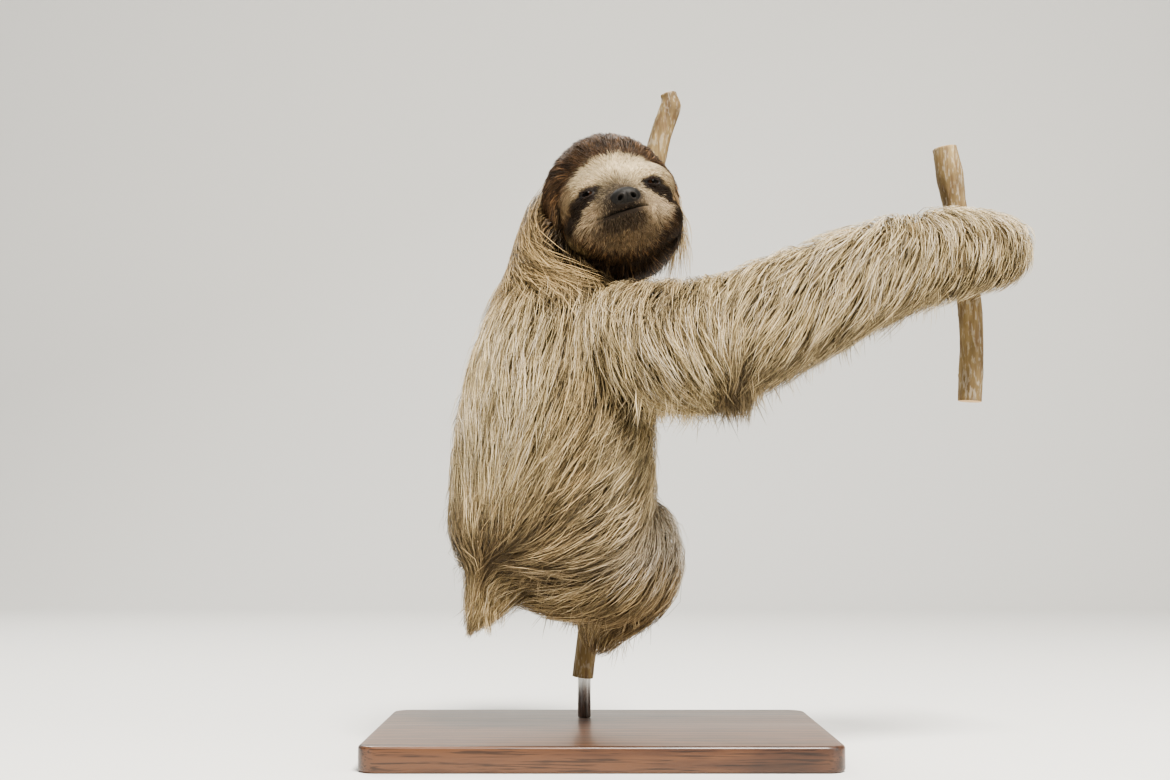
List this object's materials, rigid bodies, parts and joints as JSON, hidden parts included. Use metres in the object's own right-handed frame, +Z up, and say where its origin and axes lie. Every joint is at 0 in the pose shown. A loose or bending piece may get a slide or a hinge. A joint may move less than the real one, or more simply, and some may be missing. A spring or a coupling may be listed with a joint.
{
  "type": "three-toed sloth",
  "caption": "Life-size still model of a three-toed sloth clinging to a thin stem, one long arm stretched out to a second branch, on a plain display stand.",
  "frame": {"origin": "centre of the underside of the stand's base", "axes": "+Z up; +X the way the sloth's right arm reaches; the face looks along -Y"},
  "size_m": [0.486, 0.278, 0.5107],
  "materials": {
    "coat": "long coarse straw-brown fur",
    "nose_skin": "bare dark skin, slightly moist",
    "eye": "polished, dark brown",
    "claw": "horn, satin, with grooves along it",
    "bark": "rough bark with cut ends",
    "stand_wood": "dark stained, satin lacquer",
    "stand_steel": "brushed"
  },
  "bodies": {
    "root": {"stand_base": "stand_wood", "stand_rod": "stand_steel", "perch_stem": "bark", "perch_branch": "bark", "right_hand_claw_inner": "claw", "right_hand_claw_middle": "claw", "right_hand_claw_outer": "claw", "left_hand_claw_inner": "claw", "left_hand_claw_middle": "claw", "left_hand_claw_outer": "claw", "right_foot_claw_inner": "claw", "right_foot_claw_middle": "claw", "right_foot_claw_outer": "claw", "left_foot_claw_inner": "claw", "left_foot_claw_middle": "claw", "left_foot_claw_outer": "claw", "eye_right": "eye", "eye_left": "eye", "nose": "nose_skin", "head": "coat", "neck": "coat", "trunk": "coat", "tail": "coat", "right_upper_arm": "coat", "right_forearm": "coat", "right_hand": "coat", "left_upper_arm": "coat", "left_forearm": "coat", "left_hand": "coat", "right_thigh": "coat", "right_shank": "coat", "right_foot": "coat", "left_thigh": "coat", "left_shank": "coat", "left_foot": "coat"}
  },
  "joints": []
}
